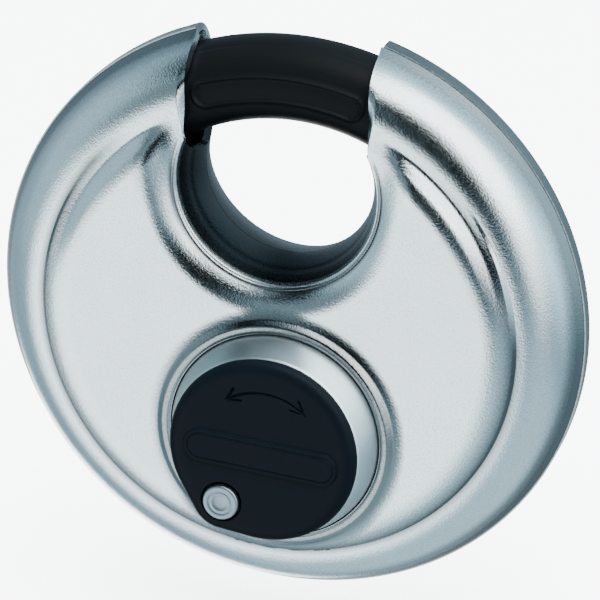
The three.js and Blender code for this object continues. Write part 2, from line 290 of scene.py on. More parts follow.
def boundary_edges(faces):
    """Edges that only one face uses, in that face's direction."""
    directed = {(a, b) for f in faces.tolist() for a, b in zip(f, f[1:] + f[:1])}
    return np.array(sorted((a, b) for a, b in directed if (b, a) not in directed))


def relief(name, points, outline, holes, depth_of, side, back_depth=None):
    """A closed piece whose face is a depth over x and z: a pressed sheet, or solid down to back_depth.

    Each face's normals are taken just inside its corners, so that a crease shades as a crease.
    """
    flat, faces = triangulate(points, [outline, *holes])
    centres = flat[faces].mean(axis=1)
    keep = inside_loop(centres, outline)
    for hole in holes:
        keep &= ~inside_loop(centres, hole)
    faces, centres = faces[keep], centres[keep]
    used, faces = np.unique(faces, return_inverse=True)
    faces = faces.reshape(-1, 3)
    x, z = flat[used].T
    if side == REAR:
        faces = faces[:, ::-1]
    normals = surface_normals(x, z, depth_of, side)
    outer = np.column_stack([x, side * depth_of(x, z), z])
    if back_depth is None:
        inner = outer - SHEET * normals
        inner[:, 1] = side * np.maximum(side * inner[:, 1], SEAM_HALF)
    else:
        inner = np.column_stack([x, side * (back_depth(x, z) + 0 * x), z])
    count = len(x)
    rim = boundary_edges(faces)
    walls = np.column_stack([rim[:, 1], rim[:, 0], rim[:, 0] + count, rim[:, 1] + count])
    corners = flat[used][faces]
    into_face = 0.03
    near = corners + (centres[:, None, :] - corners) * into_face
    near_x, near_z = near.reshape(-1, 2).T
    face_normals = surface_normals(near_x, near_z, depth_of, side)
    loop_normals = np.vstack([face_normals, np.zeros((3 * len(faces) + 4 * len(walls), 3))])
    all_faces = faces.tolist() + (faces[:, ::-1] + count).tolist() + walls.tolist()
    smooth_flags = [True] * (2 * len(faces)) + [False] * len(walls)
    return mesh_object(name, np.vstack([outer, inner]), all_faces, smooth_flags, loop_normals)


def mesh_object(name, vertices, faces, smooth_flags=None, loop_normals=None):
    """A mesh object from points in millimetres about the disc's centre."""
    mesh = bpy.data.meshes.new(name)
    placed = np.asarray(vertices, float) * MM + np.array([0, 0, DISC_Z])
    mesh.from_pydata(placed.tolist(), [], faces)
    flags = smooth_flags if smooth_flags is not None else [True] * len(faces)
    mesh.polygons.foreach_set("use_smooth", flags)
    mesh.update()
    if loop_normals is not None:
        mesh.normals_split_custom_set(loop_normals.tolist())
    made = bpy.data.objects.new(name, mesh)
    bpy.context.scene.collection.objects.link(made)
    return made


# ---- outlines ----
TRACK_R = 6.55  # radius of the passage round the bar's centre line, at the seam


def passage_edge(p, count=40):
    """The left end of the neck's wall, cut back round the shackle's track, from lip to seam."""
    rho = np.linspace(NECK_LIP_R, NECK_WAIST_R, count)
    depth = neck_wall(rho, p.face)
    track = TRACK_R + 0.06 * depth
    r = BAR_R - np.sqrt(np.clip(track**2 - depth**2, 0, None))
    lip_end = NECK_Z + math.sqrt(NECK_LIP_R**2 - p.gap_half**2)
    # Each point lies at r from the disc's centre and at rho from the neck's.
    z = np.minimum((r**2 - rho**2 + NECK_Z**2) / (2 * NECK_Z), lip_end)
    return np.column_stack([-np.sqrt(np.clip(rho**2 - (z - NECK_Z) ** 2, 0, None)), z])


def shell_outline(p, steps=800):
    """The rim from the mouth's left edge round to its right edge, then down round the mouth."""
    rim_z = math.sqrt(p.rim_r**2 - p.gap_half**2)
    start = math.atan2(rim_z, -p.gap_half)
    sweep = np.linspace(start, math.pi - start + 2 * math.pi, steps)
    rim = p.rim_r * np.column_stack([np.cos(sweep), np.sin(sweep)])
    passage = passage_edge(p)
    edge_step = 0.25
    edge_z = np.arange(rim_z - 0.1, passage[0, 1] + 0.2, -edge_step)
    left_edge = np.vstack([np.column_stack([np.full(len(edge_z), -p.gap_half), edge_z]), passage])
    start = math.atan2(passage[-1, 1] - NECK_Z, passage[-1, 0])
    sweep = np.linspace(math.pi - start + 2 * math.pi, start, 150)[1:-1]
    bottom = np.column_stack([np.cos(sweep), np.sin(sweep)]) * NECK_WAIST_R + [0, NECK_Z]
    return np.vstack([rim, left_edge * [-1, 1], bottom, left_edge[::-1]])


def shell_points(p):
    """Where a shell's mesh has its points: dense rings along every crease and round the mouth."""
    ring = p.ring_centre_r + p.ring_r * np.cos(np.radians(np.arange(86, 12, -3.0)))
    ring = ring[(ring > FOOT_R + 0.5) & (ring < p.crease_r - 0.15)]
    shoulder = rings(np.arange(SHOULDER_R, STEP_R - 0.3, 0.24), 420)
    lines = STEP_R + np.array([-0.25, -0.12, 0, 0.03, 0.12, 0.22, 0.32, FOOT_R - STEP_R, 0.55, 0.75])
    lines = [*lines, p.crease_r, (p.crease_r + p.rim_r) / 2]
    base = np.vstack([rings(np.arange(1.0, SHOULDER_R, 0.9), 300), shoulder, rings(ring, 440),
                      *[circle(radius, 900) for radius in lines]])
    rho = np.hypot(base[:, 0], base[:, 1] - NECK_Z)
    q = np.hypot(base[:, 0], base[:, 1] - CYL_Z)
    near_neck = 16.2
    near_mouth = (rho < near_neck) | ((np.abs(base[:, 0]) < 13.6) & (base[:, 1] > 16))
    keep = ~near_mouth
    if p.bead:
        keep &= q > 15.9
    groups = [base[keep]]
    neck_radii = np.concatenate([np.arange(NECK_WAIST_R + 0.06, NECK_LIP_R, 0.09), [NECK_LIP_R],
                                 np.arange(NECK_LIP_R + 0.1, NECK_LIP_R + 0.9, 0.08),
                                 np.arange(NECK_LIP_R + 1.0, near_neck, 0.25)])
    neck = rings(neck_radii, 260, 0, NECK_Z)
    gap = lip_points(p)
    above = (np.abs(neck[:, 0]) < 13.7) & (neck[:, 1] > 22)
    groups += [neck[~above & (neck[:, 1] < 31)], gap]
    if p.bead:
        bead_radii = [12.66, 12.74, 12.84, *np.arange(12.95, 14.5, 0.1), *np.arange(14.6, 15.8, 0.2)]
        groups.append(rings(bead_radii, 260, 0, CYL_Z))
    return np.vstack(groups)


def lip_points(p):
    """Upright rows of points along the mouth's rolled lip."""
    across = [*np.arange(11.06, 12.4, 0.07), 12.5, 12.7, 13.0, 13.3, 13.55]
    rows = []
    for i, x in enumerate(across):
        top = math.sqrt(p.rim_r**2 - x**2)
        z = np.arange(22.0 + 0.09 * (i % 2), top - 0.12, 0.18)
        rows.append(np.column_stack([np.full(len(z), x), z]))
    right = np.vstack(rows)
    return np.vstack([right, right * [-1, 1]])


def near_outline(points, outline, distance):
    """Points closer than distance to the outline's vertices or edges' middles."""
    middles = (outline + np.roll(outline, -1, axis=0)) / 2
    marks = np.vstack([outline, middles])
    close = np.zeros(len(points), bool)
    for start in range(0, len(points), 4000):
        block = points[start:start + 4000]
        gap = np.linalg.norm(block[:, None, :] - marks[None, :, :], axis=2).min(axis=1)
        close[start:start + 4000] = gap < distance
    return close


def shell(name, node, p):
    """One pressed half of the case, in place of its plain CAD node."""
    outline = shell_outline(p)
    points = shell_points(p)
    points = points[~near_outline(points, outline, 0.05)]
    holes = [circle(BEAD_HOLE_R, 240, 0, CYL_Z)] if p.bead else []
    made = relief(name, points, outline, holes, lambda x, z: shell_depth(x, z, p), p.side)
    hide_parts(node)
    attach(made, "case")
    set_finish(made, "shell_steel")
    return made


# ---- turned and swept pieces ----
def turned(name, profile, x=0.0, z=0.0, segments=180, sharp_angle=32):
    """A closed piece turned about the depth axis through (x, z), from (radius, depth) points."""
    turn = np.arange(segments) * 2 * math.pi / segments
    vertices, rows = [], []
    for radius, depth in profile:
        rows.append(len(vertices))
        if radius == 0:
            vertices.append([x, -depth, z])
        else:
            vertices += [[x + radius * math.cos(a), -depth, z + radius * math.sin(a)] for a in turn]
    faces = []
    for i in range(len(profile) - 1):
        for k in range(segments):
            following = (k + 1) % segments
            lower = [rows[i]] if profile[i][0] == 0 else [rows[i] + following, rows[i] + k]
            upper = [rows[i + 1]] if profile[i + 1][0] == 0 else [rows[i + 1] + k, rows[i + 1] + following]
            faces.append(lower + upper)
    made = mesh_object(name, vertices, faces)
    made.data.set_sharp_from_angle(angle=math.radians(sharp_angle))
    return made


def stadium(u, w, half_length, radius):
    """Signed distance from a straight pill of that half length (to its round ends' centres)."""
    return np.hypot(np.clip(np.abs(u) - half_length, 0, None), w) - radius


# ---- shackle ----
TOE_DEG, HEEL_DEG = -36, 158  # from the top, positive towards -x
SEEN_FROM_DEG, SEEN_TO_DEG = -35, 26
END_ROUNDING, END_SCALE = 0.9, 0.8  # the rounding's length, and how much of the section is left at the end
BAR_HALF_INNER, BAR_HALF_OUTER = 4.75, 5.1  # towards the disc's centre and away from it
BAR_HALF_AXIAL, BAR_SQUARENESS = 4.4, 2.2
BADGE_R, BADGE_HALF_HEIGHT, BADGE_HALF_LENGTH, BADGE_AT_DEG = 28.15, 1.5, 8.8, 0.4


def badge_relief(u, w):
    """A blank pill with a raised border on the bar's front."""
    away = stadium(u, w, BADGE_HALF_LENGTH, BADGE_HALF_HEIGHT)
    border = 0.24 * groove(away, 0.34)
    field = -0.14 * smooth((-away - 0.1) / 0.3)
    inner_line = 0.08 * groove(away + 0.62, 0.16)
    return border + field + inner_line


def bar_point(angle, turn, scale):
    """A point on the bar: angle along its arc, turn round its section."""
    c, s = np.cos(turn), np.sin(turn)
    power = 2 / BAR_SQUARENESS
    half = np.where(c > 0, BAR_HALF_OUTER, BAR_HALF_INNER)
    radial = scale * half * np.sign(c) * np.abs(c) ** power
    depth = scale * BAR_HALF_AXIAL * np.sign(s) * np.abs(s) ** power
    along = (angle - math.radians(BADGE_AT_DEG)) * BADGE_R
    facing = smooth((s - 0.5) / 0.2)
    depth = depth + facing * badge_relief(along, BAR_R + radial - BADGE_R)
    seam = 0.12 * groove(depth - 1.9, 0.25) * (c > 0)
    r = BAR_R + radial - seam
    return np.column_stack([-r * np.sin(angle), -depth, r * np.cos(angle)])


def shackle_bar():
    """The bar, closely spaced where it can be seen and with rounded ends."""
    toe, heel = math.radians(TOE_DEG), math.radians(HEEL_DEG)
    seen = np.linspace(math.radians(SEEN_FROM_DEG), math.radians(SEEN_TO_DEG), 420)
    stops = np.concatenate([np.linspace(toe, seen[0], 8)[:-1], seen, np.linspace(seen[-1], heel, 120)[1:]])
    around = 132
    turn = np.arange(around) * 2 * math.pi / around
    rounding = END_ROUNDING / BAR_R
    rows = []
    for angle in stops:
        end = min(angle - toe, heel - angle) / rounding
        scale = END_SCALE + (1 - END_SCALE) * math.sqrt(1 - (1 - min(end, 1)) ** 2)
        rows.append(bar_point(np.full(around, angle), turn, scale))
    vertices = np.vstack(rows)
    faces = []
    for i in range(len(stops) - 1):
        for k in range(around):
            following = (k + 1) % around
            a, b = i * around, (i + 1) * around
            faces.append([a + k, b + k, b + following, a + following])
    last = (len(stops) - 1) * around
    faces.append(list(range(around)))
    faces.append([last + k for k in reversed(range(around))])
    bar = mesh_object("shackle_bar", vertices, faces)
    bar.data.set_sharp_from_angle(angle=math.radians(50))
    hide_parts("shackle")
    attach(bar, "shackle")
    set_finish(bar, "shackle_coat")
    return bar


FORK_BEARING = math.radians(33)  # left of straight down
FORK_START, FORK_END, FORK_HALF = 12.6, 27, 4.3  # along its length from the disc's centre, and across
FORK_SLOT_END, FORK_SLOT_HALF, FORK_SLOT_CORNER = 22.7, 2.5, 0.4
FORK_NEAR, FORK_FAR = 2.6, 4.3  # behind the seam plane


def shackle_fork():
    """The slotted tab on the bar's heel that the cylinder's pin pushes."""
    corner = FORK_SLOT_END - FORK_SLOT_CORNER
    half_shape = [(FORK_HALF, FORK_END), (FORK_HALF, FORK_START), (FORK_SLOT_HALF, FORK_START),
                  (FORK_SLOT_HALF, corner), (FORK_SLOT_HALF - FORK_SLOT_CORNER, FORK_SLOT_END)]
    shape = np.array(half_shape + [(-u, r) for u, r in reversed(half_shape)])
    across = np.array([math.cos(FORK_BEARING), -math.sin(FORK_BEARING)])
    along = np.array([-math.sin(FORK_BEARING), -math.cos(FORK_BEARING)])
    outline = shape[:, :1] * across + shape[:, 1:] * along
    middle = np.array([[0, (FORK_SLOT_END + FORK_END) / 2]])
    points = middle[:, :1] * across + middle[:, 1:] * along
    fork = relief("shackle_fork", points, outline, [], lambda x, z: FORK_FAR + 0 * x, REAR,
                  lambda x, z: FORK_NEAR)
    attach(fork, "shackle")
    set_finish(fork, "shackle_coat")
    return fork


# ---- cylinder guard ----
GUARD_FACE = 12.2
APERTURE_R = 5.2
RIVET_X, RIVET_Z = -4.9, -6.65  # from the cylinder axis
RIVET_R = 2.13


def guard_depth(x, z):
    """A flat face with a soft edge, a tapering side and a flange under the shell's collar."""
    q = np.hypot(x, z - CYL_Z)
    profile_r = [0, 10.9, 11.05, 11.18, 11.27, 11.34, 12.42, 12.5, 12.56, 13.4]
    profile_depth = [GUARD_FACE, GUARD_FACE, 12.17, 12.08, 11.95, 11.75, 8.35, 7.9, 5.5, 5.5]
    depth = np.interp(q, profile_r, profile_depth)
    from_rivet = np.hypot(x - RIVET_X, z - CYL_Z - RIVET_Z)
    depth -= 0.55 * smooth((2.75 - from_rivet) / 0.1)
    return depth - 0.3 * smooth((APERTURE_R + 0.35 - q) / 0.35)


def guard():
    """The cylinder's boss, with holes for the plug and for the cover's rivet."""
    radii = [5.3, 5.4, 5.5, 5.6, 6.2, 7, 7.8, 8.6, 9.4, 10.2, 10.9, 10.98, 11.05, 11.12, 11.18, 11.23,
             11.27, 11.34, 11.5, 11.7, 11.9, 12.1, 12.3, 12.42, 12.47, 12.5, 12.56, 13.0]
    points = rings(radii, 220, 0, CYL_Z)
    from_rivet = np.hypot(points[:, 0] - RIVET_X, points[:, 1] - CYL_Z - RIVET_Z)
    seat = rings([1.8, 2.2, 2.6, 2.66, 2.7, 2.75, 2.8], 60, RIVET_X, CYL_Z + RIVET_Z)
    points = np.vstack([points[from_rivet > 2.9], seat])
    holes = [circle(APERTURE_R, 120, 0, CYL_Z), circle(1.7, 48, RIVET_X, CYL_Z + RIVET_Z)]

    def underside(x, z):
        return np.where(np.hypot(x, z - CYL_Z) < 8.8, 10.4, 4.75)

    made = relief("cylinder_boss", points, circle(13.4, 220, 0, CYL_Z), holes, guard_depth, FRONT, underside)
    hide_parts("cylinder_guard")
    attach(made, "case")
    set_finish(made, "guard_steel")
    return made


# ---- keyway cover ----
COVER_R = 11.25
COVER_BACK = 12.55
COVER_FACE = 13.72
EAR_R = 3.85
COVER_TURN = math.radians(-6)  # its markings lean a little clockwise
MARK_HEIGHT = 0.38
ARROW_R, ARROW_HALF_DEG = 7.45, 39
BARB_LENGTH = 1.75
PILL_HALF_LENGTH, PILL_HALF_HEIGHT, PILL_BELOW = 7.25, 1.98, 0.45


def cover_inset(x, z):
    """Distance inside the cover's outline: the disc and the rivet's ear, joined by straight sides."""
    length = math.hypot(RIVET_X, RIVET_Z)
    axis_x, axis_z = RIVET_X / length, RIVET_Z / length
    along = x * axis_x + (z - CYL_Z) * axis_z
    across = np.abs(x * axis_z - (z - CYL_Z) * axis_x)
    lean = (COVER_R - EAR_R) / length
    level = math.sqrt(1 - lean**2)
    where = -across * lean + along * level
    side = COVER_R - (across * level + along * lean)
    near_disc = COVER_R - np.hypot(across, along)
    near_ear = EAR_R - np.hypot(across, along - length)
    return np.where(where < 0, near_disc, np.where(where > level * length, near_ear, side))


def cover_axes(x, z):
    """Coordinates across and up the cover's own markings."""
    c, s = math.cos(COVER_TURN), math.sin(COVER_TURN)
    across, up = x, z - CYL_Z
    return across * c + up * s, up * c - across * s


def segment_distance(u, w, start, end):
    """Distance from the straight line between two points."""
    du, dw = end[0] - start[0], end[1] - start[1]
    share = np.clip(((u - start[0]) * du + (w - start[1]) * dw) / (du**2 + dw**2), 0, 1)
    return np.hypot(u - start[0] - share * du, w - start[1] - share * dw)


def arrow_distance(u, w):
    """Distance from the double-headed arc arrow's lines."""
    half = math.radians(ARROW_HALF_DEG)
    bearing = np.clip(np.arctan2(u, w), -half + 0.02, half - 0.02)
    nearest = np.hypot(u - ARROW_R * np.sin(bearing), w - ARROW_R * np.cos(bearing))
    for side in (-1, 1):
        tip = (side * ARROW_R * math.sin(half), ARROW_R * math.cos(half))
        for spread in (22, -34):
            heading = -half + math.radians(spread + 8)
            back, down = BARB_LENGTH * math.cos(heading), BARB_LENGTH * math.sin(heading)
            barb = (tip[0] - side * back, tip[1] - down)
            nearest = np.minimum(nearest, segment_distance(u, w, tip, barb))
    return nearest


def pill_inset(u, w):
    """Distance inside the blank badge's outline."""
    return -stadium(u, w + PILL_BELOW, PILL_HALF_LENGTH, PILL_HALF_HEIGHT)


def cover_depth(x, z):
    """The cover's rounded face, with its raised badge, its sunk arrow and the seat round its rivet."""
    inset = cover_inset(x, z)
    rounding = np.clip(1 - inset / 1.9, 0, 1)
    depth = COVER_BACK + 0.1 + (COVER_FACE - COVER_BACK - 0.1) * (1 - rounding**2.6) ** 0.5
    u, w = cover_axes(x, z)
    pill = pill_inset(u, w)
    depth += MARK_HEIGHT * smooth((pill + 0.08) / 0.16)
    depth -= 0.08 * groove(pill - 0.42, 0.12)
    depth -= 0.26 * groove(arrow_distance(u, w), 0.21)
    from_rivet = np.hypot(x - RIVET_X, z - CYL_Z - RIVET_Z)
    return depth - 0.75 * smooth((RIVET_R + 0.3 - from_rivet) / 0.08)


def cover_outline(count=320):
    """Points where the inset is zero, walking outwards from the cover's middle."""
    turn = np.arange(count) * 2 * math.pi / count
    low, high = np.full(count, 8.0), np.full(count, 14.0)
    for _ in range(40):
        middle = (low + high) / 2
        inside = cover_inset(middle * np.cos(turn), CYL_Z + middle * np.sin(turn)) > 0
        low, high = np.where(inside, middle, low), np.where(inside, high, middle)
    return np.column_stack([low * np.cos(turn), CYL_Z + low * np.sin(turn)])


def mark_points():
    """Rows of points that follow the pill's and the arrow's edges."""
    found = []
    c, s = math.cos(COVER_TURN), math.sin(COVER_TURN)

    def add(u, w):
        found.append(np.column_stack([u * c - w * s, CYL_Z + u * s + w * c]))

    for radius in (1.3, 1.5, 1.56, 1.62, 1.7, 1.85, 1.9, 1.94, 1.98, 2.02, 2.06, 2.15, 2.35):
        straight = np.arange(-PILL_HALF_LENGTH, PILL_HALF_LENGTH + 0.01, 0.13)
        half_turn = np.linspace(-math.pi / 2, math.pi / 2, 34)[1:-1]
        add(straight, np.full(len(straight), radius - PILL_BELOW))
        add(straight, np.full(len(straight), -radius - PILL_BELOW))
        add(PILL_HALF_LENGTH + radius * np.cos(half_turn), radius * np.sin(half_turn) - PILL_BELOW)
        add(-PILL_HALF_LENGTH - radius * np.cos(half_turn), radius * np.sin(half_turn) - PILL_BELOW)
    u, w = np.meshgrid(np.arange(-6.9, 6.9, 0.065), np.arange(3.6, 8.0, 0.065))
    u, w = u.ravel(), w.ravel()
    close = arrow_distance(u, w) < 0.28
    add(u[close], w[close])
    return np.vstack(found)


def cover():
    """The swinging cover: a disc with an ear, closely meshed along its edge and its markings."""
    outline = cover_outline()
    middle = np.array([0, CYL_Z])
    bands = []
    for inset in (0.015, 0.04, 0.08, 0.14, 0.22, 0.32, 0.45, 0.6, 0.8, 1.0, 1.25, 1.5, 1.75, 2.0, 2.4):
        spoke = outline - middle
        length = np.linalg.norm(spoke, axis=1)[:, None]
        bands.append(middle + spoke * (1 - inset / length))
    marks = mark_points()
    field = rings(np.arange(0.4, 12, 0.35), 130, 0, CYL_Z)
    inset = cover_inset(field[:, 0], field[:, 1])
    u, w = cover_axes(field[:, 0], field[:, 1])
    clear = (np.abs(pill_inset(u, w)) > 0.75) & (arrow_distance(u, w) > 0.3) & (inset > 2.6)
    seat = rings([1.8, 2.1, 2.3, 2.36, 2.4, 2.43, 2.5, 2.7], 72, RIVET_X, CYL_Z + RIVET_Z)
    points = np.vstack([field[clear], marks, *bands])
    from_rivet = np.hypot(points[:, 0] - RIVET_X, points[:, 1] - CYL_Z - RIVET_Z)
    points = np.vstack([points[from_rivet > 2.78], seat])
    hole = circle(1.7, 60, RIVET_X, CYL_Z + RIVET_Z)
    made = relief("swing_cover", points, outline, [hole], cover_depth, FRONT, lambda x, z: COVER_BACK)
    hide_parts("keyway_cover")
    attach(made, "cover")
    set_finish(made, "cover_plastic")
    return made


def rivet():
    """A turned head with a shallow dish and fine rings, on a shank."""
    top = cad_rivet_top()
    dish = [(1.5, 0), (1.42, 0.05), (1.3, 0.06), (1.22, 0.02), (1.0, 0.03), (0.92, 0.07)]
    dish += [(0.5, 0.1), (0, 0.11)]
    profile = [(0, 10.5), (1.4, 10.5), (1.4, 13.4), (1.95, 13.4), (2.1, 13.46), (RIVET_R, 13.6),
               (RIVET_R, top - 0.2), (2.08, top - 0.06), (1.96, top)]
    profile += [(radius, top - below) for radius, below in dish]
    made = turned("rivet_head", profile, RIVET_X, CYL_Z + RIVET_Z, 120, 50)
    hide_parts("cover_rivet")
    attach(made, "case")
    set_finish(made, "rivet_metal")
    return made


def cad_rivet_top():
    """Depth of the CAD rivet's top, so that the look's ends there too."""
    low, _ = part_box("cover_rivet")
    return -low.y / MM


# ---- materials ----
class Nodes:
    """Short names for building a shader tree."""

    def __init__(self, tree):
        self.tree = tree
        tree.nodes.clear()

    def add(self, kind, inputs=None, **settings):
        node = self.tree.nodes.new(kind)
        for name, value in settings.items():
            setattr(node, name, value)
        for name, value in (inputs or {}).items():
            if isinstance(value, bpy.types.NodeSocket):
                self.tree.links.new(value, node.inputs[name])
            else:
                node.inputs[name].default_value = value
        return node

    def noise(self, where, scale, detail=2.0, rough=0.5):
        values = {"Vector": where, "Scale": scale, "Detail": detail, "Roughness": rough}
        return self.add("ShaderNodeTexNoise", values).outputs["Fac"]

    def spread(self, value, low, high, to_low, to_high):
        values = {"Value": value, "From Min": low, "From Max": high, "To Min": to_low, "To Max": to_high}
        return self.add("ShaderNodeMapRange", values).outputs["Result"]

    def math(self, operation, a, b=0.0):
        return self.add("ShaderNodeMath", {0: a, 1: b}, operation=operation).outputs[0]

    def mix(self, share, a, b):
        node = self.add("ShaderNodeMix", data_type="RGBA")
        for socket, value in ((node.inputs[0], share), (node.inputs[6], a), (node.inputs[7], b)):
            if isinstance(value, bpy.types.NodeSocket):
                self.tree.links.new(value, socket)
            else:
                socket.default_value = value
        return node.outputs[2]


def shade(color, factor):
    """A lighter or darker color, with its alpha."""
    return tuple(min(1.0, c * factor) for c in color) + (1.0,)


def grained(name, color, metallic, rough, grain=0.00022, grain_height=2.5e-6, rough_spread=0.04, speckle=0.08,
            cloud=0.05, stretch=(1, 1, 1), specular=0.5, pressed=False):
    """A finish with fine speckled grain, slow clouding, uneven gloss and a slight bump.
    A pressed shell also has painted shade in its creases, on its rim and round its bead, and a neck wall
    darkened to near black."""
    material = bpy.data.materials.new(name)
    material.use_nodes = True
    n = Nodes(material.node_tree)
    coordinates = n.add("ShaderNodeTexCoord").outputs["Object"]
    where = n.add("ShaderNodeMapping", {"Vector": coordinates, "Scale": stretch}).outputs["Vector"]
    fine = n.noise(where, 1 / grain, 3.0, 0.6)
    slow = n.noise(coordinates, 140, 4.0, 0.55)
    tinted = n.mix(n.spread(slow, 0.3, 0.7, 0, 1), shade(color, 1 - cloud), shade(color, 1 + cloud))
    specks = n.spread(fine, 0.35, 0.65, 0, 1)
    dark = shade(color, 1 - 2 * speckle)
    colored = n.mix(n.math("MULTIPLY", specks, 0.5), tinted, dark)
    mixed_rough = n.math("ADD", n.spread(fine, 0.3, 0.7, -rough_spread, rough_spread),
                         n.spread(slow, 0.3, 0.7, rough - rough_spread / 2, rough + rough_spread / 2))
    if pressed:
        # Painted shade: the creases, rim, bead and neck line are mixed towards a darker copy of the steel.
        colored = n.mix(painted_crease_shade(n, coordinates, fine), colored, shade(color, 0.13))
        # The neck's wall inside the lip is darkened to near black, fading out towards the lip.
        dark_ends, steel_starts = 11.75 * MM, 12.1 * MM
        neck = n.spread(distance_from(n, coordinates, NECK_Z), dark_ends, steel_starts, 1, 0)
        colored = n.mix(neck, colored, NECK_BLACK + (1.0,))
        mixed_rough = n.math("ADD", mixed_rough, n.math("MULTIPLY", neck, 0.12))
    bump = n.add("ShaderNodeBump", {"Height": fine, "Strength": 1.0, "Distance": grain_height})
    shader = n.add("ShaderNodeBsdfPrincipled", {
        "Base Color": colored, "Metallic": metallic, "Roughness": mixed_rough,
        "Specular IOR Level": specular, "Normal": bump.outputs["Normal"],
    })
    n.add("ShaderNodeOutputMaterial", {"Surface": shader.outputs["BSDF"]})
    return material


NECK_BLACK = (0.014, 0.019, 0.021)


def distance_from(n, coordinates, z):
    """Distance, in metres, from the depth axis at that height above the disc's centre."""
    from_axis = n.add("ShaderNodeVectorMath", {
        0: coordinates, 1: (1, 0, 1), 2: (0, 0, -DISC_Z - z * MM),
    }, operation="MULTIPLY_ADD").outputs["Vector"]
    return n.add("ShaderNodeVectorMath", {0: from_axis}, operation="LENGTH").outputs["Value"]


SHADE_LINE_R, SHADE_LINE_TIP_R = 28.3, 27.5  # the step's line of painted shade, and where it runs at the right-hand tip
# Strength of the painted shade at the step, at its right-hand tip, on the rim, on the bead and along the
# neck's line.
STEP_SHADE, TIP_SHADE = 0.92, 0.4
RIM_SHADE, BEAD_SHADE, LIP_SHADE = 0.8, 0.75, 0.85


def painted_crease_shade(n, coordinates, fine):
    """How much painted shade darkens the pressing: along the step, on the rim, on the bead and along the line
    round the neck.
    """
    wander = n.math("MULTIPLY", n.math("SUBTRACT", fine, 0.5), 0.4 * MM)
    r = n.math("ADD", distance_from(n, coordinates, 0), wander)
    place = n.add("ShaderNodeSeparateXYZ", {"Vector": coordinates}).outputs
    height = n.math("SUBTRACT", place["Z"], DISC_Z)
    upper_right = n.math("ADD", height, place["X"])
    tip = n.add("ShaderNodeMapRange", {
        "Value": upper_right, "From Min": 28 * MM, "From Max": 38 * MM,
    }, interpolation_type="SMOOTHSTEP").outputs["Result"]
    line = n.math("SUBTRACT", r, n.spread(tip, 0, 1, SHADE_LINE_R * MM, SHADE_LINE_TIP_R * MM))
    outside = n.spread(line, 0.1 * MM, 1.0 * MM, 1, 0)
    inside = n.spread(line, -1.6 * MM, -0.1 * MM, 0, 1)
    # The painted shade along the step is strongest towards the lower left and weakest at the upper right tip.
    strength = n.spread(upper_right, 28 * MM, 35 * MM, STEP_SHADE, TIP_SHADE)
    below = n.spread(height, 18 * MM, 22 * MM, 1, 0)
    step = n.math("MULTIPLY", n.math("MINIMUM", inside, outside), n.math("MULTIPLY", strength, below))
    # Painted shade on the rim, which faces outwards and back.
    rim = n.spread(r, 33.3 * MM, 34.2 * MM, 0, RIM_SHADE)
    # Painted shade round the bead's foot, on the front shell only.
    collar = n.spread(distance_from(n, coordinates, CYL_Z), 14.0 * MM, 15.6 * MM, BEAD_SHADE, 0)
    bead = n.math("MULTIPLY", collar, n.math("LESS_THAN", place["Y"], 0.0))
    # Painted shade along the line round the neck's lip.
    from_neck = distance_from(n, coordinates, NECK_Z)
    lip = n.math("MINIMUM", n.spread(from_neck, 12.2 * MM, 12.35 * MM, 0, LIP_SHADE),
                 n.spread(from_neck, 12.6 * MM, 13.0 * MM, LIP_SHADE, 0))
    lip = n.math("MULTIPLY", lip, below)
    return n.math("MAXIMUM", n.math("MAXIMUM", step, rim), n.math("MAXIMUM", bead, lip))


STEEL = (0.66, 0.76, 0.79)
COAT_BLACK = (0.003, 0.0038, 0.0045)
PLASTIC_BLACK = (0.002, 0.004, 0.006)


def make_finishes():
    """One finish for each material slot: name, color, metallic, roughness and its grain."""
    return {
        "shell_steel": grained("satin_stainless", STEEL, 1, 0.17,
                               grain=0.00024, grain_height=3.2e-5, speckle=0.16, pressed=True),
        "guard_steel": grained("bright_satin_steel", STEEL, 1, 0.38, grain=0.0002, grain_height=6e-6),
        "shackle_coat": grained("satin_black_coat", COAT_BLACK, 0, 0.42,
                                grain=0.00012, speckle=0.15, specular=0.05),
        "cover_plastic": grained("moulded_black_plastic", PLASTIC_BLACK, 0, 0.4,
                                 grain=0.00009, speckle=0.1, grain_height=1.5e-6, specular=0.05),
        "rivet_metal": grained("plated_rivet", (0.22, 0.29, 0.32), 1, 0.42, grain=0.00015),
        "brass": grained("machined_brass", (0.72, 0.52, 0.24), 1, 0.28, stretch=(1, 12, 1)),
        "hard_steel": grained("ground_steel", (0.42, 0.43, 0.45), 1, 0.3, stretch=(12, 1, 1)),
        "cast_zinc": grained("cast_zinc", (0.42, 0.44, 0.45), 1, 0.5, grain=0.0006, grain_height=2e-5),
        "rubber": grained("seal_rubber", (0.02, 0.02, 0.021), 0, 0.7, grain=0.0002, grain_height=6e-6),
    }


def dress(finishes):
    """Gives every piece and every shown CAD node the finish of its slot."""
    slots = {part["node"]: part["material_slot"] for part in frame["record"]["subparts"]}
    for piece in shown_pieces():
        slot = piece.get("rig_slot") or slots[piece["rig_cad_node"]]
        piece.data.materials.clear()
        piece.data.materials.append(finishes[slot])


# ---- studio ----
def bearing(azimuth_deg, elevation_deg):
    """A direction: azimuth 0 is straight out of the front, positive to the right."""
    a, e = math.radians(azimuth_deg), math.radians(elevation_deg)
    return (math.sin(a) * math.cos(e), -math.cos(a) * math.cos(e), math.sin(e))


